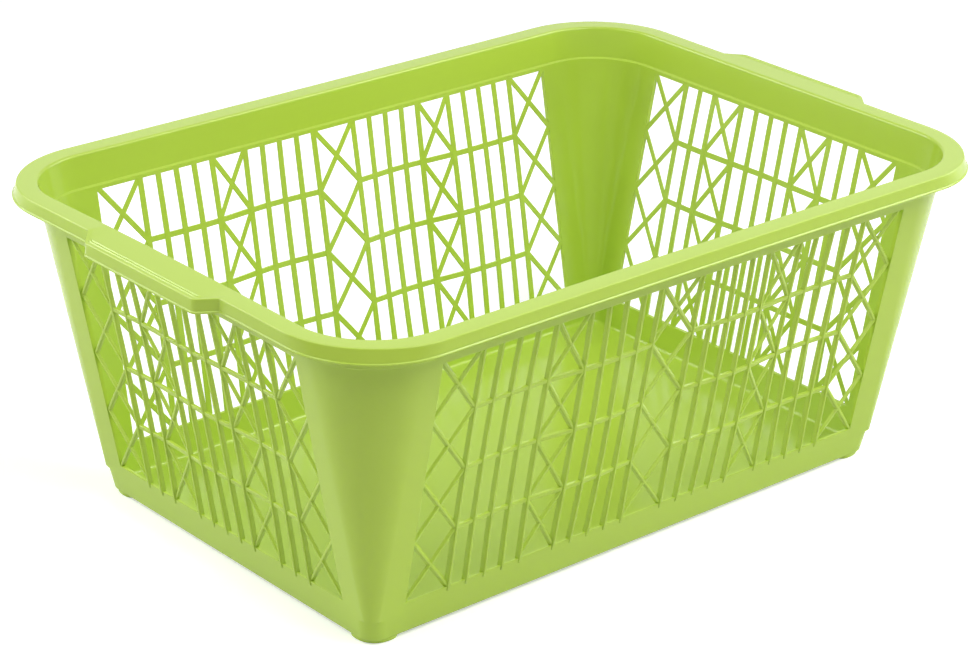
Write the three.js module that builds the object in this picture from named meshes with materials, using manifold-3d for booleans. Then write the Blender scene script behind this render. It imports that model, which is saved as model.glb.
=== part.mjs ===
// Laundry basket moulded in one shot of lime green polypropylene: a rolled-over rim with a
// ledge handle at each end, four tapering walls pierced by a lattice of bars, rungs and
// crossed braces, smooth corner posts and a flat floor on four low feet.
// Millimetres, +Z up, X along the long side, origin on the ground under the middle.
// Each named piece is one region of the moulding and meets its neighbours face to face.
import * as THREE from 'three';
import { mergeVertices } from 'three/addons/utils/BufferGeometryUtils.js';
import Module from 'manifold-3d';

const wasm = await Module();
wasm.setup();

// Rim: a flat flange with a skirt hanging from its outer edge
const rimLength = 600;
const rimWidth = 432;
const rimHeight = 245;
const rimCorner = 70;
const flangeThickness = 2.5;
const flangeEdge = 1.6;
const innerEdge = 2.4;
const skirtDrop = 10.6;
const skirtWall = 2;
const skirtFlare = 2.8;

// Handles: the flange and its skirt step outwards in the middle of both ends
const handleReach = 11;
const handleHalfSpan = 75.5;
const handleSlant = 12.5;
const handleEase = 1.6;
const handleRoot = 3;

// Walls: straight draft on all sides, conical corner posts, thicker under the relief line
const endOverhang = 10.9;
const sideOverhang = 12.3;
const bandThickness = 2.5;
const wallTop = 4.2;
const wallFoot = 2.7;
const wallDraft = 0.2;
const postRadiusTop = 66;
const postRadiusLow = 8.5;
const stepHeight = 20;
const stepThickness = 2.4;
const baseRadius = 17;
const reliefBelowRim = 24;
const collarBelowRim = 21.6;
const collarProud = 0.5;

// Base
const groundClearance = 2.8;
const floorThickness = 2.4;
const footSize = 27;
const footInnerRadius = 8;
const footEdge = 1.4;
const footInset = 0.4;

// Lattice windows and the members that fill them
const bandBelowRim = 27.7;
const lowerBandHeight = 26;
const postFromEnd = 85;
const postFromSide = 85;
const rows = 4;
const nodeAboveEdge = 2.1;
const barWidth = 5;
const barCrest = 2.4;
const barDepthTop = 2.6;
const barDepthFoot = 3.7;
const barTail = 3.6;
const tailDepth = 2.15;
const tailRoot = 0.9;
const rungHeight = 4.2;
const rungDepth = 2;
const braceWidth = 4.2;
const braceCrest = 2.4;
const braceDepth = 2.1;

// Columns of the lattice, from the middle of a wall to its corner post
const centreColumn = 38.2;
const narrowColumnLong = 30.7;
const narrowColumnShort = 30.8;
const endColumnLong = 37.2;
const endColumnShort = 36.2;
const slotsPerGroupLong = 4;
const slotsPerGroupShort = 2;

// Facets of every rounded corner, and the share of a radius that a 45 degree facet leaves
const cornerSteps = 8;
const footSteps = 3;
const arcShare = 1 - Math.SQRT1_2;

// Reach of the cutting blocks, and what members run past the edge that trims them
const far = 2 * rimLength;
const overrun = 1;

const plastic = { color: 0xafcc55, roughness: 0.36, metalness: 0 };
const quadrants = [[1, 1], [-1, 1], [-1, -1], [1, -1]];

// Worked-out places
const wallHalfX = rimLength / 2 - endOverhang;
const wallHalfY = rimWidth / 2 - sideOverhang;
const seatZ = rimHeight - flangeThickness;
const floorTop = groundClearance + floorThickness;
const latticeTop = rimHeight - bandBelowRim;
const latticeBottom = groundClearance + lowerBandHeight;
const windowHalfX = rimLength / 2 - postFromEnd;
const windowHalfY = rimWidth / 2 - postFromSide;
const reliefZ = rimHeight - reliefBelowRim;
const collarZ = rimHeight - collarBelowRim;
const innerStepZ = stepHeight + stepThickness;
const rowPitch = (latticeTop + nodeAboveEdge - latticeBottom) / rows;

// Radius of the posts' outer face at height z
function postRadiusAt(z) {
  const share = (z - stepHeight) / (rimHeight - stepHeight);
  return postRadiusLow + (postRadiusTop - postRadiusLow) * share;
}

// Half sizes and corner radius of the walls at height z, `depth` in from their outer face
function wallSection(z, depth, radius = postRadiusAt(z)) {
  const inset = wallDraft * (rimHeight - z) + depth;
  return [wallHalfX - inset, wallHalfY - inset, radius - depth];
}

// Wall thickness at height z, from the floor's step to the relief under the rim
function wallThicknessAt(z) {
  return wallFoot + (wallTop - wallFoot) * (z - innerStepZ) / (reliefZ - innerStepZ);
}

// Turns a closed geometry into a solid for cutting and joining
function solid(geometry) {
  geometry.deleteAttribute('normal');
  geometry.deleteAttribute('uv');
  const merged = mergeVertices(geometry);
  return new wasm.Manifold(new wasm.Mesh({
    numProp: 3,
    vertProperties: new Float32Array(merged.attributes.position.array),
    triVerts: new Uint32Array(merged.index.array),
  }));
}

function geometryOf(body) {
  const mesh = body.getMesh();
  const geometry = new THREE.BufferGeometry();
  geometry.setAttribute('position', new THREE.BufferAttribute(mesh.vertProperties, 3));
  geometry.setIndex(new THREE.BufferAttribute(mesh.triVerts, 1));
  geometry.computeVertexNormals();
  return geometry;
}

function block(rangeX, rangeY, rangeZ) {
  const low = new THREE.Vector3(rangeX[0], rangeY[0], rangeZ[0]);
  const high = new THREE.Vector3(rangeX[1], rangeY[1], rangeZ[1]);
  const size = high.clone().sub(low);
  const middle = low.clone().add(high).multiplyScalar(0.5);
  const box = new THREE.BoxGeometry(size.x, size.y, size.z);
  return solid(box.translate(middle.x, middle.y, middle.z));
}

function joined(bodies) {
  return bodies.reduce((whole, body) => whole.add(body));
}

// Skin through rings of matching points, each ring counter-clockwise seen from the last.
// A looped skin joins its last ring to its first, any other is capped at both ends.
function loft(rings, looped) {
  const count = rings[0].length;
  const index = [];
  const bands = looped ? rings.length : rings.length - 1;
  for (let i = 0; i < bands; i += 1) {
    const here = i * count;
    const there = ((i + 1) % rings.length) * count;
    for (let j = 0; j < count; j += 1) {
      const next = (j + 1) % count;
      index.push(here + j, here + next, there + next);
      index.push(here + j, there + next, there + j);
    }
  }
  if (!looped) {
    const last = (rings.length - 1) * count;
    for (let j = 1; j < count - 1; j += 1) {
      index.push(0, j + 1, j);
      index.push(last, last + j, last + j + 1);
    }
  }
  const geometry = new THREE.BufferGeometry();
  geometry.setFromPoints(rings.flat());
  geometry.setIndex(index);
  return geometry;
}

// Rounded rectangle in plan. `radius` is one value, or four from the +X +Y corner on,
// counter-clockwise.
function roundedOutline(halfX, halfY, radius, z, steps = cornerSteps) {
  const points = [];
  quadrants.forEach(([signX, signY], corner) => {
    const cornerRadius = Array.isArray(radius) ? radius[corner] : radius;
    for (let step = 0; step <= steps; step += 1) {
      const angle = (corner + step / steps) * Math.PI / 2;
      points.push(new THREE.Vector3(
        signX * (halfX - cornerRadius) + cornerRadius * Math.cos(angle),
        signY * (halfY - cornerRadius) + cornerRadius * Math.sin(angle),
        z,
      ));
    }
  });
  return points;
}

// The same outline with a handle ledge in both ends, standing out by `reach`
function rimOutline(halfX, halfY, radius, z, reach) {
  const ease = reach * handleEase / handleReach;
  const rise = [
    [-handleHalfSpan, 0],
    [-handleHalfSpan + handleEase, ease / 2],
    [-handleHalfSpan + handleSlant - handleEase, reach - ease],
    [-handleHalfSpan + handleSlant + handleEase, reach],
  ];
  const ledge = [...rise, ...rise.map(([along, out]) => [-along, out]).reverse()];
  const endPoints = (sign) => ledge.map(([along, out]) => (
    new THREE.Vector3(sign * (halfX + out), sign * along, z)));
  const plain = roundedOutline(halfX, halfY, radius, z);
  const leftEnd = 2 * (cornerSteps + 1);
  return [...plain.slice(0, leftEnd), ...endPoints(-1), ...plain.slice(leftEnd), ...endPoints(1)];
}

// Rim: the section runs round the skirt, in over the flange and down the inside edge
function makeRim() {
  const inner = (outward, z) => (
    rimOutline(...wallSection(z, bandThickness - outward), z, 0));
  const outer = (grow, z) => (
    rimOutline(rimLength / 2 + grow, rimWidth / 2 + grow, rimCorner + grow, z, handleReach));
  const edgeTurn = flangeEdge * arcShare;
  const innerTurn = innerEdge * arcShare;
  return solid(loft([
    outer(-skirtWall, seatZ),
    outer(skirtFlare - skirtWall, rimHeight - skirtDrop),
    outer(skirtFlare, rimHeight - skirtDrop),
    outer(0, rimHeight - flangeEdge),
    outer(-edgeTurn, rimHeight - edgeTurn),
    outer(-flangeEdge, rimHeight),
    inner(innerEdge, rimHeight),
    inner(innerTurn, rimHeight - innerTurn),
    inner(0, seatZ),
  ], true));
}

// Walls: up the outside past the stacking step and the collar under the rim, over the top
// and down the inside
function makeWalls() {
  const outside = (z, radius) => roundedOutline(...wallSection(z, 0, radius), z);
  const collar = (z) => roundedOutline(...wallSection(z, -collarProud), z);
  const inside = (z, thickness, radius) => (
    roundedOutline(...wallSection(z, thickness, radius), z));
  const ring = solid(loft([
    outside(floorTop, baseRadius),
    outside(stepHeight, baseRadius),
    outside(stepHeight),
    outside(collarZ),
    collar(collarZ),
    collar(seatZ),
    inside(seatZ, bandThickness),
    inside(reliefZ, bandThickness),
    inside(reliefZ, wallTop),
    inside(innerStepZ, wallFoot),
    inside(innerStepZ, wallFoot, baseRadius),
    inside(floorTop, wallFoot, baseRadius),
  ], true));
  const windowZ = [latticeBottom, latticeTop];
  return ring
    .subtract(block([-windowHalfX, windowHalfX], [-far, far], windowZ))
    .subtract(block([-far, far], [-windowHalfY, windowHalfY], windowZ));
}

function makeFloor() {
  const outline = (z) => roundedOutline(...wallSection(z, 0, baseRadius), z);
  return loft([outline(groundClearance), outline(floorTop)], false);
}

// Foot under the corner that the two signs name, rounded towards the ground
function makeFoot(signX, signY) {
  const half = footSize / 2;
  const [outerX, outerY, outerRadius] = wallSection(groundClearance, footInset, baseRadius);
  const radii = quadrants.map(([cornerX, cornerY]) => (
    cornerX === signX && cornerY === signY ? outerRadius : footInnerRadius));
  const ring = (inset, z) => {
    const shrunk = radii.map((radius) => radius - inset);
    return roundedOutline(half - inset, half - inset, shrunk, z, footSteps);
  };
  const edgeTurn = footEdge * arcShare;
  return loft([
    ring(footEdge, 0),
    ring(edgeTurn, edgeTurn),
    ring(0, footEdge),
    ring(0, groundClearance),
  ], false).translate(signX * (outerX - half), signY * (outerY - half), 0);
}

// Lattice members are laid out upright: X along the wall, their inner faces at Y = 0, and
// their outer faces towards -Y at the depth that they have at the top edge.
function member(from, to, { width, crest, depth, endDepth = depth, root = 0 }) {
  const along = to.clone().sub(from);
  const across = new THREE.Vector3(along.z, 0, -along.x).normalize();
  const ring = (point, out) => [
    [-width / 2, root],
    [-crest / 2, out],
    [crest / 2, out],
    [width / 2, root],
  ].map(([half, y]) => point.clone().addScaledVector(across, half).setY(-y));
  return solid(loft([ring(from, endDepth), ring(to, depth)], false));
}

// How much deeper the members are at height z than at the top edge
function depthGrowth(z) {
  const share = (latticeTop - z) / (latticeTop - latticeBottom);
  return 1 + (barDepthFoot / barDepthTop - 1) * share;
}

function makeBar(x) {
  const foot = new THREE.Vector3(x, 0, latticeBottom - overrun);
  const head = new THREE.Vector3(x, 0, latticeTop + overrun);
  return member(foot, head, { width: barWidth, crest: barCrest, depth: barDepthTop });
}

// The tail of a bar, lapping over the band below the window and thinning out downwards
function makeTail(x) {
  const end = new THREE.Vector3(x, 0, latticeBottom - barTail);
  const head = new THREE.Vector3(x, 0, latticeBottom);
  const section = { width: barWidth, crest: barCrest, depth: barDepthTop };
  return member(end, head, { ...section, endDepth: tailDepth, root: tailRoot });
}

function makeRung(fromX, toX, z) {
  const depth = rungDepth / depthGrowth(z);
  return block([fromX, toX], [-depth, 0], [z - rungHeight / 2, z + rungHeight / 2]);
}

// Two crossed braces in one cell; an end that lies on the window's edge runs on past it
function makeBraces(fromX, toX, topZ, bottomZ, halfSpan) {
  const brace = (startZ, endZ) => {
    const start = new THREE.Vector3(fromX, 0, startZ);
    const end = new THREE.Vector3(toX, 0, endZ);
    const step = end.clone().sub(start).setLength(braceWidth);
    const onEdge = (node) => (
      Math.abs(node.x) > halfSpan - barWidth || node.z < latticeBottom + barWidth);
    const from = onEdge(start) ? start.clone().sub(step) : start;
    const to = onEdge(end) ? end.clone().add(step) : end;
    return member(from, to, { width: braceWidth, crest: braceCrest, depth: braceDepth });
  };
  return [brace(topZ, bottomZ), brace(bottomZ, topZ)];
}

// Spaces between the bars of a wall, from its middle to its post and mirrored. Crossed
// braces stand in the `crossed` ones.
function latticeColumns({ halfSpan, centre, slots, narrow, end }) {
  const pitch = (halfSpan - centre / 2 - narrow - end) / (2 * slots);
  const group = Array.from({ length: slots }, () => ({ width: pitch }));
  const half = [
    ...group,
    { width: narrow, crossed: true },
    ...group,
    { width: end, crossed: true },
  ];
  const columns = centre > 0 ? [{ from: -centre / 2, to: centre / 2, crossed: true }] : [];
  let edge = centre / 2;
  half.forEach(({ width, crossed }) => {
    columns.push({ from: edge, to: edge + width, crossed });
    columns.push({ from: -edge - width, to: -edge, crossed });
    edge += width;
  });
  return columns;
}

// Everything in one window, still upright: the lattice, and the bar tails below it
function makeLattice(wall) {
  const columns = latticeColumns(wall);
  const edges = columns.flatMap(({ from, to }) => [from, to]);
  const inWindow = edges.filter((x) => Math.abs(x) < wall.halfSpan - barWidth);
  const barPlaces = [...new Set(inWindow)];
  const members = barPlaces.map(makeBar);
  const nodeTop = latticeTop + nodeAboveEdge;
  const rungEnd = wall.halfSpan - wall.end;
  for (let row = 0; row < rows; row += 1) {
    const topZ = nodeTop - row * rowPitch;
    columns.filter(({ crossed }) => crossed).forEach(({ from, to }) => {
      members.push(...makeBraces(from, to, topZ, topZ - rowPitch, wall.halfSpan));
    });
    if (row > 0 && wall.centre > 0) {
      members.push(makeRung(wall.centre / 2, rungEnd, topZ));
      members.push(makeRung(-rungEnd, -wall.centre / 2, topZ));
    } else if (row > 0) {
      members.push(makeRung(-rungEnd, rungEnd, topZ));
    }
  }
  const across = [-wall.halfSpan, wall.halfSpan];
  const window = block(across, [-far, far], [latticeBottom, latticeTop]);
  const tails = barPlaces.map(makeTail);
  return { grille: joined(members).intersect(window), tails: joined(tails) };
}

// Leans an upright lattice onto the inner face of the front wall, or of the wall at `turn`
function seated(body, wall, turn) {
  const geometry = geometryOf(body);
  const position = geometry.attributes.position;
  for (let i = 0; i < position.count; i += 1) {
    const z = position.getZ(i);
    const face = wall.halfWidth - wallThicknessAt(z) - wallDraft * (rimHeight - z);
    position.setY(i, position.getY(i) * depthGrowth(z) - face);
  }
  geometry.rotateZ(turn);
  geometry.computeVertexNormals();
  return geometry;
}

const basket = new THREE.Group();
const frontHalf = new THREE.Group();
const backHalf = new THREE.Group();
backHalf.rotation.z = Math.PI;
basket.add(frontHalf, backHalf);

function addPiece(group, name, geometry) {
  const mesh = new THREE.Mesh(geometry, new THREE.MeshStandardMaterial(plastic));
  mesh.name = name;
  group.add(mesh);
}

// Adds a piece of the front half and its twin, which is the same piece turned half round
function addPair(kind, [frontPlace, backPlace], geometry) {
  addPiece(frontHalf, `${kind}_${frontPlace}`, geometry);
  addPiece(backHalf, `${kind}_${backPlace}`, geometry);
}

const rim = makeRim();
const walls = makeWalls();
const allZ = [-far, far];
const handleRegion = block(
  [rimLength / 2 - handleRoot, far],
  [-handleHalfSpan, handleHalfSpan],
  allZ,
);

const sides = [
  {
    places: ['front', 'back'],
    plan: [[-windowHalfX, windowHalfX], [-far, 0]],
    turn: 0,
    wall: {
      halfSpan: windowHalfX,
      halfWidth: wallHalfY,
      centre: centreColumn,
      slots: slotsPerGroupLong,
      narrow: narrowColumnLong,
      end: endColumnLong,
    },
  },
  {
    places: ['right', 'left'],
    plan: [[0, far], [-windowHalfY, windowHalfY]],
    turn: Math.PI / 2,
    wall: {
      halfSpan: windowHalfY,
      halfWidth: wallHalfX,
      centre: 0,
      slots: slotsPerGroupShort,
      narrow: narrowColumnShort,
      end: endColumnShort,
    },
  },
];

sides.forEach(({ places, plan, turn, wall }) => {
  const { grille, tails } = makeLattice(wall);
  const lowerBand = walls.intersect(block(...plan, [-far, latticeBottom]));
  const upperBand = walls.intersect(block(...plan, [latticeTop, far]));
  const rimSide = rim.intersect(block(...plan, allZ)).subtract(handleRegion);
  addPair('rim', places, geometryOf(rimSide));
  addPair('upper_band', places, geometryOf(upperBand));
  addPair('lattice', places, seated(grille, wall, turn));
  addPair('lower_band', places, geometryOf(lowerBand.add(solid(seated(tails, wall, turn)))));
});

const corners = [
  { places: ['front_left', 'back_right'], spanX: [-far, -windowHalfX], sign: -1 },
  { places: ['front_right', 'back_left'], spanX: [windowHalfX, far], sign: 1 },
];

corners.forEach(({ places, spanX, sign }) => {
  const region = block(spanX, [-far, -windowHalfY], allZ);
  addPair('rim_corner', places, geometryOf(rim.intersect(region)));
  addPair('corner_post', places, geometryOf(walls.intersect(region)));
  addPair('foot', places, makeFoot(sign, -1));
});

addPair('handle', ['right', 'left'], geometryOf(rim.intersect(handleRegion)));
addPiece(basket, 'floor', makeFloor());

export default basket;
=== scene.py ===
# Lime green laundry basket on a pale studio floor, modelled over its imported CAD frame.
# Sizes are in millimetres, as in the CAD model, and become metres where a mesh is made.
import math
import bmesh
import bpy
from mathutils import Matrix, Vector


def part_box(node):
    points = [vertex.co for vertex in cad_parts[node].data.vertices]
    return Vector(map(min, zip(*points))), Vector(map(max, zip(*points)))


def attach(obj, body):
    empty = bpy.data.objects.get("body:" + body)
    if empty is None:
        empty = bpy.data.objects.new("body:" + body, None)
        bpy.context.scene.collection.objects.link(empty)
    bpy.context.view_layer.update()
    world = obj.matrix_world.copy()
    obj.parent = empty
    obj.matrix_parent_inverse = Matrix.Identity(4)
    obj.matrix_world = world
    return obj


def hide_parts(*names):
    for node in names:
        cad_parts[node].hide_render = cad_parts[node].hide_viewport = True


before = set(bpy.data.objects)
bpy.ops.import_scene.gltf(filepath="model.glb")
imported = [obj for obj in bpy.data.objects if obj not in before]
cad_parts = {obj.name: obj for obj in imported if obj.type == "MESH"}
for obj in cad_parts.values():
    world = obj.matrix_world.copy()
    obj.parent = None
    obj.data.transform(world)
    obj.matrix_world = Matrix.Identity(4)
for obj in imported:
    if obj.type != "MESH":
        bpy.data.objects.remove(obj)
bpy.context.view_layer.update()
mm = 0.001
scene = bpy.context.scene
print("frame: loaded", len(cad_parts), "CAD nodes")


def boxOf(node):
    # lowest and highest corner of a CAD node in millimetres
    low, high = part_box(node)
    return [c / mm for c in low], [c / mm for c in high]


def makePiece(name, points, faces, material):
    mesh = bpy.data.meshes.new(name)
    mesh.from_pydata([Vector(p) * mm for p in points], [], faces)
    mesh.validate()
    mesh.materials.append(material)
    piece = bpy.data.objects.new(name, mesh)
    scene.collection.objects.link(piece)
    return piece


def finishPiece(piece, nodes, sharpAngle=32, evened=True):
    # rounds the shading, then ties the piece to the frame
    mesh = piece.data
    mesh.shade_smooth()
    mesh.set_sharp_from_angle(angle=math.radians(sharpAngle))
    if evened:
        weighted = piece.modifiers.new("evenShading", "WEIGHTED_NORMAL")
        weighted.keep_sharp = True
    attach(piece, "root")
    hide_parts(*nodes)


class Wire:
    # wraps one output socket, so that shader maths reads as arithmetic
    def __init__(self, tree, socket=None):
        self.tree = tree
        self.socket = socket

    def add(self, kind, settings=None, values=None, out=0):
        # any node: its settings first, then the values or links of its sockets
        node = self.tree.nodes.new(kind)
        for name, value in (settings or {}).items():
            setattr(node, name, value)
        for name, value in (values or {}).items():
            if isinstance(value, Wire):
                self.tree.links.new(value.socket, node.inputs[name])
            else:
                node.inputs[name].default_value = value
        return Wire(self.tree, node.outputs[out]) if len(node.outputs) else node

    def another(self, name):
        # another output of the same node
        return Wire(self.tree, self.socket.node.outputs[name])

    def maths(self, operation, *values):
        return self.add("ShaderNodeMath", {"operation": operation}, dict(enumerate(values)))

    def mix(self, share, first, second):
        # colour mix: 6 and 7 are the colour inputs, output 2 the colour
        return self.add(
            "ShaderNodeMix", {"data_type": "RGBA"}, {0: share, 6: first, 7: second}, 2)

    def __add__(self, other):
        return self.maths("ADD", self, other)

    def __sub__(self, other):
        return self.maths("SUBTRACT", self, other)

    def __rsub__(self, other):
        return self.maths("SUBTRACT", other, self)

    def __mul__(self, other):
        return self.maths("MULTIPLY", self, other)

    __radd__ = __add__
    __rmul__ = __mul__


def newMaterial(name):
    material = bpy.data.materials.new(name)
    material.use_nodes = True
    material.node_tree.nodes.clear()
    return material, Wire(material.node_tree)


# glossy lime polypropylene, coloured through, a little cloudy from the moulding
plasticLook = {
    "colour": (0.448, 0.618, 0.067, 1),
    "deepColour": (0.428, 0.593, 0.056, 1),
    "patchScale": 9,
    "patchDetail": 3,
    "roughness": 0.18,
    "roughnessSpread": 0.05,
    "hazeScale": 54,
    "grainScale": 900,
    "grainHeight": 0.00002,
    "grainStrength": 0.4,
    "fineDetail": 2,
    "ior": 1.49,
    "specular": 0.33,
}


def makePlastic(look):
    material, wire = newMaterial("limePolypropylene")
    place = wire.add("ShaderNodeTexCoord", out="Object")
    patches = wire.add("ShaderNodeTexNoise", {}, {
        "Vector": place, "Scale": look["patchScale"], "Detail": look["patchDetail"]})
    colour = wire.mix(patches, look["deepColour"], look["colour"])
    haze = wire.add("ShaderNodeTexNoise", {}, {
        "Vector": place, "Scale": look["hazeScale"], "Detail": look["fineDetail"]})
    roughness = (haze - 0.5) * look["roughnessSpread"] + look["roughness"]
    grain = wire.add("ShaderNodeTexNoise", {}, {
        "Vector": place, "Scale": look["grainScale"], "Detail": look["fineDetail"]})
    bump = wire.add("ShaderNodeBump", {}, {
        "Height": grain, "Distance": look["grainHeight"], "Strength": look["grainStrength"]})
    surface = wire.add("ShaderNodeBsdfPrincipled", {}, {
        "Base Color": colour, "Roughness": roughness, "Normal": bump,
        "IOR": look["ior"], "Specular IOR Level": look["specular"]})
    wire.add("ShaderNodeOutputMaterial", {}, {"Surface": surface})
    return material


plastic = makePlastic(plasticLook)
print("material: lime polypropylene")


# the CAD boxes that the shell, the windows and the floor are built to
rimLow, rimHigh = boxOf("rim_front")
cornerHigh = boxOf("rim_corner_front_right")[1]
windowLow, windowHigh = boxOf("lattice_front")
sideWindowHigh = boxOf("lattice_right")[1]
floorLow, floorHigh = boxOf("floor")

# profiles are (out, rise) pairs from the place that their note names
shellSizes = {
    "cornerSteps": 18,
    "longSteps": 12,
    "windowRows": 6,
    "rimCorner": 70,
    "flangeThickness": 2.5,
    "flangeReach": 2,
    "flangeSoften": 4,
    "flangeEdge": 0.9,
    "edgeSteps": 5,
    "flangeFillet": 2.5,
    "filletDrop": 3,
    "innerEdge": 1.8,
    "skirtFlare": 2.8,
    "skirtWall": 2,
    "skirtRoot": [(-1, 0), (-0.3, -0.3), (0, -1)],  # skirt's inner face under the flange
    "lipSoften": -2,
    "lipInside": [(0, 0.5), (0.3, 0)],  # skirt's inner face at its lower edge
    "lipOutside": [(-0.4, 0), (0, 0.4), (0, 1.2), (-0.8, 1.8)],  # its outer face, with the bead
    "endOverhang": 10.9,
    "sideOverhang": 12.3,
    "draft": 0.2,
    "bandThickness": 2.5,
    "reliefZ": 221,
    "reliefStep": (0.3, -0.8),  # above and below the relief line
    "collarZ": 223.4,
    "collarProud": 0.45,
    "collarStep": [(0, -0.4), (0.8, 0), (1, 0.3)],  # share of its proudness, rise
    "wallTop": 4.2,
    "wallFoot": 2.7,
    "footRise": 2.4,
    "postTop": 61,
    "postLow": 8.5,
    "baseTop": 14,
    "baseLow": 12.5,
    "stepZ": 20,
    "outerStep": (-0.6, 0.5),  # below and above the step line, outside
    "innerStep": (2.9, 1.8),  # above it, where the step starts and ends inside
    "bottomEdge": 1.3,
    "floorFillet": 3,
    "windowEdge": 0.5,
}

handleSizes = {
    "reach": 11,
    "rootHalf": 75.5,
    "frontHalf": 62.4,
    "rootRadius": 3,
    "frontRadius": 8,
    "arcSteps": 5,
    "rootMargin": 20,  # this and the next two only set where the mesh has its stops
    "windowMargin": 14,
    "frontStops": (40, 20, 0),
    "grooveDepth": 0.45,
    "groovePlaces": (3.0, 5.0),
    "grooveHalf": 0.5,
    "leftDrop": 2,
    "dropFade": 12,
}

# how far the walls draw in between the corners, and over which stretch
bowSizes = {
    "left": 1.8,
    "right": 0.2,
    "long": 1.2,
    "longHalf": 230,
    "endHalf": 150,
    "fadeStart": 13,
    "fadeLength": 20,
}

rimZ = rimHigh[2]
skirtZ = rimLow[2]
rimX = cornerHigh[0] - shellSizes["skirtFlare"]
rimY = -rimLow[1] - shellSizes["skirtFlare"]
wallX = rimX - shellSizes["endOverhang"]
wallY = rimY - shellSizes["sideOverhang"]
seatZ = rimZ - shellSizes["flangeThickness"]
windowX = windowHigh[0]
windowY = sideWindowHigh[1]
windowBottom = windowLow[2]
windowTop = windowHigh[2]
quadrants = [(1, 1), (-1, 1), (-1, -1), (1, -1)]  # signs of the corners, counter-clockwise


def spread(low, high, count):
    return [low + (high - low) * i / count for i in range(count + 1)]


def quarter(radius, steps=4):
    # (sine, cosine) pairs of a quarter turn times the radius
    turns = [math.pi / 2 * i / steps for i in range(steps + 1)]
    return [(radius * math.sin(a), radius * math.cos(a)) for a in turns]


def clamped(value):
    return min(1, max(0, value))


def roundedPath(points, steps):
    # polyline with its inner points turned into arcs: each point is (along, out, radius)
    path = [points[0][:2]]
    for before, here, after in zip(points, points[1:], points[2:]):
        corner = Vector(here[:2])
        back = (Vector(before[:2]) - corner).normalized()
        on = (Vector(after[:2]) - corner).normalized()
        half = back.angle(on) / 2
        cut = here[2] / math.tan(half)
        centre = corner + (back + on).normalized() * (here[2] / math.sin(half))
        start = corner + back * cut - centre
        end = corner + on * cut - centre
        turn = start.angle(end)
        for share in spread(0, 1, steps):
            both = start * math.sin((1 - share) * turn) + end * math.sin(share * turn)
            path.append(tuple(centre + both / math.sin(turn)))
    path.append(points[-1][:2])
    return path


def makeEndStops(size):
    # (stop, share of the handle's reach) along an end of the rim
    reach = size["reach"]
    path = roundedPath([
        (size["rootHalf"] + size["rootMargin"], 0, 0),
        (size["rootHalf"], 0, size["rootRadius"]),
        (size["frontHalf"], reach, size["frontRadius"]),
        (0, reach, 0),
    ], size["arcSteps"])
    half = [(windowY, 0), (windowY - size["windowMargin"], 0)]
    half += path[:-1] + [(along, reach) for along in size["frontStops"]]
    stops = [(-along, out / reach) for along, out in half]
    return stops + [(along, out / reach) for along, out in reversed(half[:-1])]


longStops = spread(-windowX, windowX, shellSizes["longSteps"])
endStops = makeEndStops(handleSizes)


def cornerArc(corner, centreX, centreY, radius, z, steps):
    # points of one rounded corner of a ring
    turns = [(corner + step / steps) * math.pi / 2 for step in range(steps + 1)]
    return [
        (centreX + radius * math.cos(turn), centreY + radius * math.sin(turn), z)
        for turn in turns]


def outline(halfX, halfY, radius, z, reach=0, groove=0, drop=0):
    # one ring of the shell, counter-clockwise; only the ends hold the handle's ledge and grooves
    points = []
    for corner, (signX, signY) in enumerate(quadrants):
        points += cornerArc(
            corner, signX * (halfX - radius), signY * (halfY - radius), radius, z,
            shellSizes["cornerSteps"])
        if corner in (0, 2):  # the long sides follow the +X +Y and the -X -Y corner
            points += [(-signX * stop, signY * halfY, z) for stop in longStops]
        else:
            sag = drop if signX < 0 else 0  # the left ledge hangs a little
            for stop, share in endStops:
                grooved = max(0, 4 * share - 3)  # only where the ledge stands out fully
                points.append((
                    signX * (halfX + share * reach), -signY * stop,
                    z - groove * grooved - sag * share))
    return points


def postRadius(z):
    share = max(0, (z - shellSizes["stepZ"]) / (rimZ - shellSizes["stepZ"]))
    return shellSizes["postLow"] + (shellSizes["postTop"] - shellSizes["postLow"]) * share


def thickness(z):
    # of the wall, from its foot to the relief line under the rim
    size = shellSizes
    rise = z - size["stepZ"] - size["footRise"]
    height = size["reliefZ"] - size["stepZ"] - size["footRise"]
    return size["wallFoot"] + (size["wallTop"] - size["wallFoot"]) * (rise / height)


def wallRing(z, depth, radius=None):
    # ring on the wall, `depth` in from its outer face
    inset = shellSizes["draft"] * (rimZ - z) + depth
    radius = (postRadius(z) if radius is None else radius) - depth
    return outline(wallX - inset, wallY - inset, radius, z)


def rimRing(grow, z, soften, groove=0):
    # ring on the rim, `grow` out from the nominal edge, its corners rounder by `soften`
    fade = handleSizes["dropFade"]
    drop = handleSizes["leftDrop"] * clamped((grow + fade) / fade)
    return outline(
        rimX + grow, rimY + grow, shellSizes["rimCorner"] + grow + soften, z,
        handleSizes["reach"], groove, drop)


def eased(keys, along):
    # smooth curve through (place, value) keys, level at each of them, zero past the last
    for (x0, y0), (x1, y1) in zip(keys, keys[1:]):
        if along < x1:
            return y0 + (y1 - y0) * (0.5 - 0.5 * math.cos(math.pi * (along - x0) / (x1 - x0)))
    return 0


def bowed(point):
    # all four walls draw in a little between the corners, most of all at the rim
    x, y, z = point
    size = bowSizes
    rise = z / rimZ
    alongX = max(0, 1 - (x / size["longHalf"]) ** 2)
    alongY = max(0, 1 - (y / size["endHalf"]) ** 2)
    alongY *= clamped((rimX + size["fadeStart"] - abs(x)) / size["fadeLength"])  # not the ledge
    bowX = size["left"] if x < 0 else size["right"]
    return (
        x - math.copysign(bowX * alongY * rise, x),
        y - math.copysign(size["long"] * alongX * rise, y),
        z)


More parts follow.
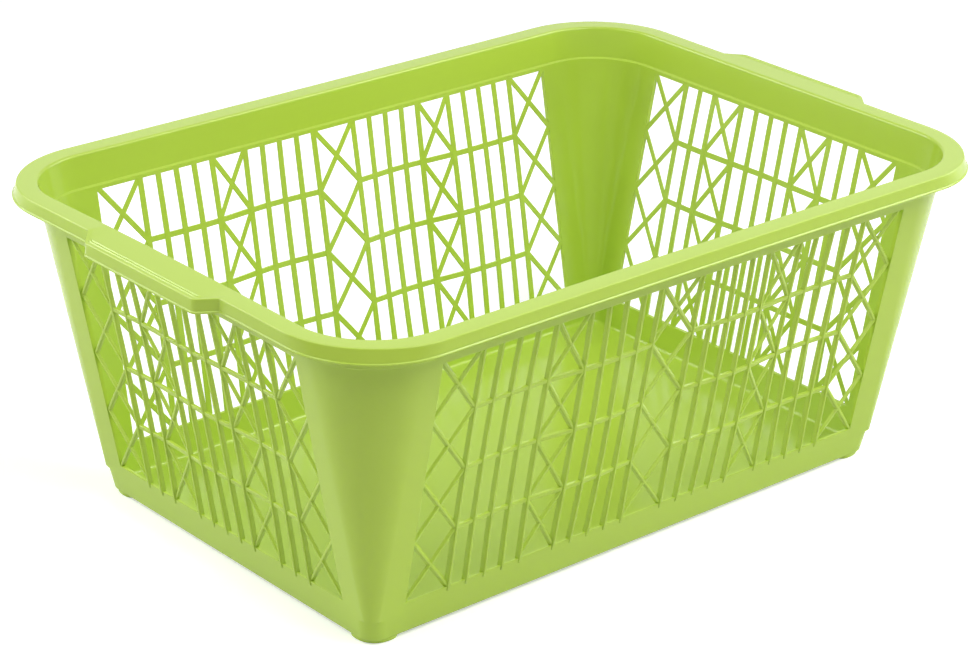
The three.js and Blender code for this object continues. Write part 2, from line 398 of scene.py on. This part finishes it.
def outsideRings(openZ):
    # from the underside's edge up to the fillet under the flange, and the first row of windows
    size = shellSizes
    edge = size["bottomEdge"]
    rings = [
        wallRing(floorLow[2] + edge - inset, edge - rise, size["baseLow"])
        for rise, inset in quarter(edge)]
    below, above = size["outerStep"]
    rings.append(wallRing(size["stepZ"] + below, 0, size["baseTop"]))
    rings.append(wallRing(size["stepZ"] + above, 0))
    firstOpen = len(rings)
    rings += [wallRing(z, 0) for z in openZ]
    proud = size["collarProud"]
    rings += [
        wallRing(size["collarZ"] + rise, -proud * share)
        for share, rise in size["collarStep"]]
    filletZ = seatZ - size["filletDrop"]
    fillet = size["flangeFillet"]
    rings.append(wallRing(filletZ, -proud))
    rings += [wallRing(filletZ + rise, -proud - fillet + out) for rise, out in quarter(fillet)[1:]]
    return rings, firstOpen


def rimRings():
    # down the inside of the skirt, up its outside and over the flange
    size = shellSizes
    flare = size["skirtFlare"]
    inside = -size["skirtWall"]
    reach = size["flangeReach"]
    upper, lower = size["flangeSoften"], size["lipSoften"]
    rings = [
        rimRing(reach + inside + out, seatZ + rise, upper)
        for out, rise in size["skirtRoot"]]
    rings += [
        rimRing(inside + flare + out, skirtZ + rise, lower)
        for out, rise in size["lipInside"]]
    rings += [rimRing(flare + out, skirtZ + rise, lower) for out, rise in size["lipOutside"]]
    edge = size["flangeEdge"]
    rings += [
        rimRing(reach + out - edge, rimZ - edge + rise, upper)
        for rise, out in quarter(edge, size["edgeSteps"])]
    half = handleSizes["grooveHalf"]
    for place in handleSizes["groovePlaces"]:
        rings += [
            rimRing(reach - place + half, rimZ, upper),
            rimRing(reach - place, rimZ, upper, handleSizes["grooveDepth"]),
            rimRing(reach - place - half, rimZ, upper),
        ]
    return rings


def insideRings(openZ):
    # from the flange's inner edge down to the floor, and the first row of windows
    size = shellSizes
    edge = size["innerEdge"]
    band = size["bandThickness"]
    above, below = size["reliefStep"]
    rings = [
        wallRing(rimZ - edge + rise, band - edge + out)
        for rise, out in reversed(quarter(edge))]
    rings.append(wallRing(size["reliefZ"] + above, band))
    rings.append(wallRing(size["reliefZ"] + below, thickness(size["reliefZ"])))
    firstOpen = len(rings)
    rings += [wallRing(z, thickness(z)) for z in reversed(openZ)]
    foot = size["wallFoot"]
    above, below = size["innerStep"]
    rings.append(wallRing(size["stepZ"] + above, foot))
    rings.append(wallRing(size["stepZ"] + below, foot, size["baseTop"]))
    fillet = size["floorFillet"]
    rings += [
        wallRing(floorHigh[2] + fillet - rise, foot + fillet - out, size["baseTop"])
        for rise, out in quarter(fillet)]
    return rings, firstOpen


def ringFaces(first, rings, count, openCells=()):
    # quads between neighbouring rings of `count` points, then a cap on both ends
    faces = []
    for i in range(rings - 1):
        near, far = first + i * count, first + (i + 1) * count
        for j in range(count):
            if (i, j) not in openCells:
                nextJ = (j + 1) % count
                faces.append((near + j, near + nextJ, far + nextJ, far + j))
    last = first + (rings - 1) * count
    faces.append(tuple(first + j for j in reversed(range(count))))
    faces.append(tuple(last + j for j in range(count)))
    return faces


def windowSpans():
    # (first, last) stop of each window along a ring
    spans = []
    start = 0
    for corner in range(4):
        start += shellSizes["cornerSteps"] + 1
        stops = len(longStops) if corner in (0, 2) else len(endStops)
        spans.append((start, start + stops - 1))
        start += stops
    return spans


def makeShell():
    openZ = spread(windowBottom, windowTop, shellSizes["windowRows"])
    outside, outerFirst = outsideRings(openZ)
    rim = rimRings()
    inside, innerFirst = insideRings(openZ)
    innerFirst += len(outside) + len(rim)
    rings = outside + rim + inside
    count = len(rings[0])
    rows = len(openZ) - 1
    windows = windowSpans()
    openCells = {
        (start + k, j)
        for start in (outerFirst, innerFirst) for k in range(rows)
        for first, last in windows for j in range(first, last)}
    faces = ringFaces(0, len(rings), count, openCells)

    # reveals of the windows: outer ring k faces inner ring rows - k
    def outerAt(k, j):
        return (outerFirst + k) * count + j

    def innerAt(k, j):
        return (innerFirst + rows - k) * count + j

    steps = []  # (ring, stop, next ring, next stop) along the windows' edges
    for first, last in windows:
        steps += [(k, j, k, j + 1) for k in (0, rows) for j in range(first, last)]
        steps += [(k, j, k + 1, j) for j in (first, last) for k in range(rows)]
    bevelled = set()
    for k, j, nextK, nextJ in steps:
        outer = (outerAt(k, j), outerAt(nextK, nextJ))
        inner = (innerAt(k, j), innerAt(nextK, nextJ))
        faces.append((*outer, *reversed(inner)))
        bevelled |= {frozenset(outer), frozenset(inner)}

    points = [bowed(point) for ring in rings for point in ring]
    piece = makePiece("shell", points, faces, plastic)
    body = bmesh.new()
    body.from_mesh(piece.data)
    windowEdges = [e for e in body.edges if frozenset(v.index for v in e.verts) in bevelled]
    bmesh.ops.recalc_face_normals(body, faces=body.faces)
    bmesh.ops.bevel(
        body, geom=windowEdges, offset=shellSizes["windowEdge"] * mm, offset_type="OFFSET",
        segments=2, profile=0.5, affect="EDGES", clamp_overlap=True)
    openEdges = sum(not e.is_manifold for e in body.edges)
    print("shell:", len(body.faces), "faces,", openEdges, "open edges")
    body.to_mesh(piece.data)
    body.free()
    return piece


shell = makeShell()
places = ["front", "back", "left", "right"]
cornerPlaces = [f"{fore}_{side}" for fore in ("front", "back") for side in ("left", "right")]
finishPiece(shell, [
    *[f"{kind}_{place}" for kind in ("rim", "upper_band", "lower_band") for place in places],
    *[f"{kind}_{place}" for kind in ("rim_corner", "corner_post") for place in cornerPlaces],
    "handle_left", "handle_right", "floor"])


# lattices: bars, rungs and crossed braces in the window of each wall
latticeSizes = {
    # width at the inner face, width at the crest, depth, radius of the crest's edges
    "bar": (5.0, 2.4, 2.6, 0.8),
    "rung": (4.4, 3.2, 2.1, 0.5),
    "brace": (4.2, 2.4, 2.1, 0.9),
    "rootEdge": 0.35,
    "crestSteps": 3,
    "barSteps": 8,
    "braceSteps": 4,
    "rows": 4,
    "nodeAboveEdge": 2.1,
    "tail": 4.8,
    "tailShape": [  # rise from the tail's end, share of the width, share of the foot's depth
        (-0.5, 0.5, 0.3), (0, 0.7, 0.58), (0.7, 0.88, 0.8), (1.9, 1, 0.95)],
    "footDepth": 1.35,
    # the groups lie at different depths, so that they join without faces in one plane
    "recess": {"bars": 0.12, "rungs": 0.3, "rising": 0.18, "falling": 0.24},
    "embed": 0.8,
    "overrun": 4,
    "nearFrame": 1,
    "warpMiddle": 123,
    "warpHalf": 94,
}

# warp is how far the thin members bend inwards at places along the wall, at mid-height
frontWall = {
    "warp": [(0, 1.6), (62, -2.5), (130, 2.6), (windowX, 0)],
    "halfSpan": windowX,
    "halfWidth": wallY,
    "centre": 38.2,
    "slots": 4,
    "narrow": 30.7,
    "end": 37.2,
}
sideWall = {
    "warp": [(0, -0.2), (58, 2.2), (windowY, 0)],
    "halfSpan": windowY,
    "halfWidth": wallX,
    "centre": 0,
    "slots": 2,
    "narrow": 30.8,
    "end": 36.2,
}


def draftedSection(root, crest, depth, radius):
    # section of a member as (side, out): wide at the inner face, rounded at the crest
    edge = latticeSizes["rootEdge"]
    half = [(root / 2 - edge, 0), (root / 2, edge)]
    half += [
        (crest / 2 - radius + out, depth - radius + rise)
        for rise, out in quarter(radius, latticeSizes["crestSteps"])]
    return [(-side, out) for side, out in half] + [(side, out) for side, out in reversed(half)]


def addMember(store, kind, stations, across):
    # stations are (x, z, share of the width, share of the depth); points are (x, out, z)
    points, faces, recess = store
    section = draftedSection(*latticeSizes[kind])
    faces += ringFaces(len(points), len(stations), len(section))
    for x, z, wide, deep in stations:
        for side, out in section:
            reach = side * wide
            points.append((x + across[0] * reach, recess + out * deep, z + across[1] * reach))


def columnsOf(wall):
    # (from, to, crossed) of every space between two bars, out from the middle
    slotted = wall["halfSpan"] - wall["centre"] / 2 - wall["narrow"] - wall["end"]
    group = [(slotted / (2 * wall["slots"]), False)] * wall["slots"]
    half = [*group, (wall["narrow"], True), *group, (wall["end"], True)]
    edge = wall["centre"] / 2
    columns = [(-edge, edge, True)] if edge else []
    for width, crossed in half:
        columns += [(edge, edge + width, crossed), (-edge - width, -edge, crossed)]
        edge += width
    return columns


def addBars(store, barPlaces):
    # upright bars, from their flattened tail on the lower band to the upper band
    size = latticeSizes
    foot = size["footDepth"]
    tailZ = windowBottom - size["tail"]
    rise = windowTop + size["embed"] - windowBottom
    for x in barPlaces:
        stations = [(x, tailZ + up, wide, deep * foot) for up, wide, deep in size["tailShape"]]
        stations += [
            (x, windowBottom + rise * share, 1, foot + (1 - foot) * share)
            for share in spread(0, 1, size["barSteps"])]
        addMember(store, "bar", stations, (1, 0))


def addBrace(store, low, high, z0, z1, halfSpan):
    # one slanting brace, run on into the frame where it ends there
    size = latticeSizes
    ends = [Vector((low, z0)), Vector((high, z1))]
    step = (ends[1] - ends[0]).normalized()
    for sign, end in zip((-1, 1), ends):
        atSide = abs(end.x) > halfSpan - size["nearFrame"]
        if atSide or end.y < windowBottom + size["nearFrame"]:
            end += sign * size["overrun"] * step
    shares = spread(0, 1, size["braceSteps"])
    stations = [(*ends[0].lerp(ends[1], share), 1, 1) for share in shares]
    addMember(store, "brace", stations, (step.y, -step.x))


def addRungs(store, wall, edges, z):
    # one row of rungs between the braced columns, with a stop on every bar
    inner, outer = wall["centre"] / 2, wall["halfSpan"] - wall["end"]
    spans = [(inner, outer), (-outer, -inner)] if inner else [(-outer, outer)]
    slack = 0.01
    for low, high in spans:
        stops = [x for x in edges if low - slack < x < high + slack]
        addMember(store, "rung", [(x, z, 1, 1) for x in stops], (0, 1))


def bodyOf(store):
    # one group of members as a bmesh
    points, faces, recess = store
    mesh = bpy.data.meshes.new("members")
    mesh.from_pydata(points, [], faces)
    body = bmesh.new()
    body.from_mesh(mesh)
    bpy.data.meshes.remove(mesh)
    return body


def trim(body, wall):
    # cuts a group of members off a little inside the frame of the window
    embed = latticeSizes["embed"]
    reach = wall["halfSpan"] + embed
    planes = [
        ((reach, 0, 0), (1, 0, 0)),
        ((-reach, 0, 0), (-1, 0, 0)),
        ((0, 0, windowTop + embed), (0, 0, 1)),
        ((0, 0, windowBottom - embed), (0, 0, -1)),
    ]
    for place, normal in planes:
        bmesh.ops.bisect_plane(
            body, geom=[*body.verts, *body.edges, *body.faces],
            plane_co=place, plane_no=normal, clear_outer=True)
        bmesh.ops.holes_fill(body, edges=[e for e in body.edges if e.is_boundary], sides=0)


def leaned(body, wall, turn, name):
    # leans the upright members onto their wall and turns them to its side
    cosine, sine = math.cos(turn), math.sin(turn)
    middle, half = latticeSizes["warpMiddle"], latticeSizes["warpHalf"]
    for vert in body.verts:
        x, out, z = vert.co
        face = wall["halfWidth"] - thickness(z) - shellSizes["draft"] * (rimZ - z)
        belly = max(0, 1 - ((z - middle) / half) ** 2)
        y = -(face + out - eased(wall["warp"], abs(x)) * belly)
        placed = bowed((x * cosine - y * sine, x * sine + y * cosine, z))
        vert.co = Vector(placed) * mm
    body.normal_update()  # leaning mirrors the members, and the next line reads the normals
    bmesh.ops.recalc_face_normals(body, faces=body.faces)
    mesh = bpy.data.meshes.new(name)
    body.to_mesh(mesh)
    body.free()
    piece = bpy.data.objects.new(name, mesh)
    scene.collection.objects.link(piece)
    return piece


def united(groups):
    # mesh of the first group with the others joined to it, which are then deleted
    for other in groups[1:]:
        union = groups[0].modifiers.new("union", "BOOLEAN")
        union.operation = "UNION"
        union.solver = "MANIFOLD"
        union.object = other
    depsgraph = bpy.context.evaluated_depsgraph_get()
    joined = bpy.data.meshes.new_from_object(groups[0].evaluated_get(depsgraph))
    groups[0].modifiers.clear()
    for other in groups[1:]:
        bpy.data.objects.remove(other)
    return joined


def makeLattice(place, wall, turn):
    size = latticeSizes
    stores = {kind: ([], [], recess) for kind, recess in size["recess"].items()}
    columns = columnsOf(wall)
    edges = sorted({round(x, 4) for column in columns for x in column[:2]})
    addBars(stores["bars"], edges[1:-1])
    nodeTop = windowTop + size["nodeAboveEdge"]
    pitch = (nodeTop - windowBottom) / size["rows"]
    for row in range(size["rows"]):
        topZ = nodeTop - row * pitch
        for low, high, crossed in columns:
            if crossed:
                addBrace(stores["rising"], low, high, topZ - pitch, topZ, wall["halfSpan"])
                addBrace(stores["falling"], low, high, topZ, topZ - pitch, wall["halfSpan"])
        if row:
            addRungs(stores["rungs"], wall, edges, topZ)
    groups = []
    for kind, store in stores.items():
        body = bodyOf(store)
        if kind != "bars":
            trim(body, wall)
        groups.append(leaned(body, wall, turn, f"lattice_{kind}_{place}"))
    joined = united(groups)
    joined.materials.clear()
    joined.materials.append(plastic)
    lattice = groups[0]
    lattice.data = joined
    lattice.name = f"grille_{place}"
    finishPiece(lattice, [f"lattice_{place}"], sharpAngle=0, evened=False)
    print("lattice", place, len(joined.vertices), "points")


makeLattice("front", frontWall, 0)
makeLattice("back", frontWall, math.pi)
makeLattice("right", sideWall, math.pi / 2)
makeLattice("left", sideWall, -math.pi / 2)


# low pads under the corners
footSizes = {
    "outerRadius": 16,
    "innerRadius": 8,
    "edge": 1.4,
    "embed": 0.5,
    "cornerSteps": 8,
}


def footRing(half, radii, inset, z, centre):
    points = []
    for corner, (signX, signY) in enumerate(quadrants):
        radius = radii[corner] - inset
        arm = half - inset - radius
        points += cornerArc(
            corner, centre[0] + signX * arm, centre[1] + signY * arm, radius, z,
            footSizes["cornerSteps"])
    return points


def makeFoot(place, outward):
    low, high = boxOf(f"foot_{place}")
    half = (high[0] - low[0]) / 2
    centre = ((low[0] + high[0]) / 2, (low[1] + high[1]) / 2)
    radii = [
        footSizes["outerRadius" if corner == outward else "innerRadius"]
        for corner in quadrants]
    edge = footSizes["edge"]
    rings = [
        footRing(half, radii, edge - rise, low[2] + edge - out, centre)
        for rise, out in quarter(edge)]
    rings.append(footRing(half, radii, 0, high[2] + footSizes["embed"], centre))
    points = [point for ring in rings for point in ring]
    faces = ringFaces(0, len(rings), len(rings[0]))
    foot = makePiece(f"pad_{place}", points, faces, plastic)
    finishPiece(foot, [f"foot_{place}"])


for place in cornerPlaces:
    makeFoot(place, (1 if "right" in place else -1, 1 if "back" in place else -1))
print("feet:", len(cornerPlaces))


# floor and surroundings
stageLook = {
    "floorHalf": 12,  # metres
    "floorColour": (0.86, 0.86, 0.86, 1),
    "floorGlow": 0.42,
    "ambient": (1, 1, 1, 1),
    "ambientStrength": 0.1,
}


def seenRays(wire):
    # 1 where the camera, a reflection or something clear looks, 0 for the light itself
    camera = wire.add("ShaderNodeLightPath", out="Is Camera Ray")
    glossy, through = camera.another("Is Glossy Ray"), camera.another("Is Transmission Ray")
    return wire.maths("MAXIMUM", camera, wire.maths("MAXIMUM", glossy, through))


def makeFloor(look):
    half = look["floorHalf"] / mm
    corners = [(-half, -half, 0), (half, -half, 0), (half, half, 0), (-half, half, 0)]
    material, wire = newMaterial("paleFloor")
    paper = wire.add("ShaderNodeBsdfDiffuse", {}, {"Color": look["floorColour"]})
    glow = wire.add("ShaderNodeEmission", {}, {
        "Color": (1, 1, 1, 1), "Strength": seenRays(wire) * look["floorGlow"]})
    both = wire.add("ShaderNodeAddShader", {}, {0: paper, 1: glow})
    wire.add("ShaderNodeOutputMaterial", {}, {"Surface": both})
    floor = makePiece("studioFloor", corners, [(0, 1, 2, 3)], material)


def makeWorld(look):
    # white where the camera or a reflection looks, plain grey for the light itself
    world = bpy.data.worlds.new("studio")
    scene.world = world
    world.use_nodes = True
    world.node_tree.nodes.clear()
    wire = Wire(world.node_tree)
    strength = seenRays(wire) * (1 - look["ambientStrength"]) + look["ambientStrength"]
    light = wire.add("ShaderNodeBackground", {}, {"Color": look["ambient"], "Strength": strength})
    wire.add("ShaderNodeOutputWorld", {}, {"Surface": light})


makeFloor(stageLook)
makeWorld(stageLook)


def direction(azimuth, elevation):
    # azimuth 0 is straight in front of the basket, 90 on its right
    turn, rise = math.radians(azimuth), math.radians(elevation)
    flat = math.cos(rise)
    return Vector((math.sin(turn) * flat, -math.cos(turn) * flat, math.sin(rise)))


# soft boxes round the basket, in metres, at angles from its middle
lampSet = {
    "distance": 2.2,
    "aimZ": 0.12,
    "boxes": {  # azimuth, elevation, side of the square in metres, watts
        "rightBox": (68, 15, 1.2, 22),
        "leftBox": (218, 17, 1.2, 22),
        "frontBox": (12, 50, 1.2, 26),
        "topBox": (20, 72, 1.4, 9),
        "sideBox": (255, 48, 1.2, 17),
        "backBox": (139, 30, 1.6, 2.5),
        "keyBox": (64, 46, 1.0, 26),
        "edgeBox": (209, 37, 1.0, 15),
    },
    "sheenOnly": ["keyBox", "edgeBox"],  # these show in the gloss only
}


def makeLamps(look):
    aim = Vector((0, 0, look["aimZ"]))
    for name, (azimuth, elevation, side, watts) in look["boxes"].items():
        way = direction(azimuth, elevation)
        data = bpy.data.lights.new(name, "AREA")
        data.shape = "SQUARE"
        data.size = side
        data.energy = watts
        lamp = bpy.data.objects.new(name, data)
        scene.collection.objects.link(lamp)
        lamp.location = aim + way * look["distance"]
        lamp.rotation_euler = way.to_track_quat("Z", "Y").to_euler()
        lamp.visible_diffuse = name not in look["sheenOnly"]


makeLamps(lampSet)

cameraSet = {
    "target": (68.54, 85.36, 64.26),
    "azimuth": -40.845,
    "elevation": 23.734,
    "distance": 2411.04,
    "roll": 0.8465,
    "lens": 114.487,
    "sensor": 36,
    "clip": (0.05, 60),  # metres
}


def makeCamera(size):
    back = direction(size["azimuth"], size["elevation"])
    roll = math.radians(size["roll"])
    level = (-back).cross(Vector((0, 0, 1))).normalized()
    upright = back.cross(level)
    right = level * math.cos(roll) + upright * math.sin(roll)
    up = upright * math.cos(roll) - level * math.sin(roll)
    data = bpy.data.cameras.new("camera")
    data.lens = size["lens"]
    data.sensor_width = size["sensor"]
    data.sensor_fit = "HORIZONTAL"
    data.clip_start, data.clip_end = size["clip"]
    camera = bpy.data.objects.new("camera", data)
    scene.collection.objects.link(camera)
    matrix = camera.matrix_world.copy()
    place = (Vector(size["target"]) + back * size["distance"]) * mm
    for column, axis in enumerate((right, up, back, place)):
        for row in range(3):
            matrix[row][column] = axis[row]
    camera.matrix_world = matrix
    scene.camera = camera


makeCamera(cameraSet)
scene.view_settings.view_transform = "Standard"
print("stage: floor, lamps and camera")
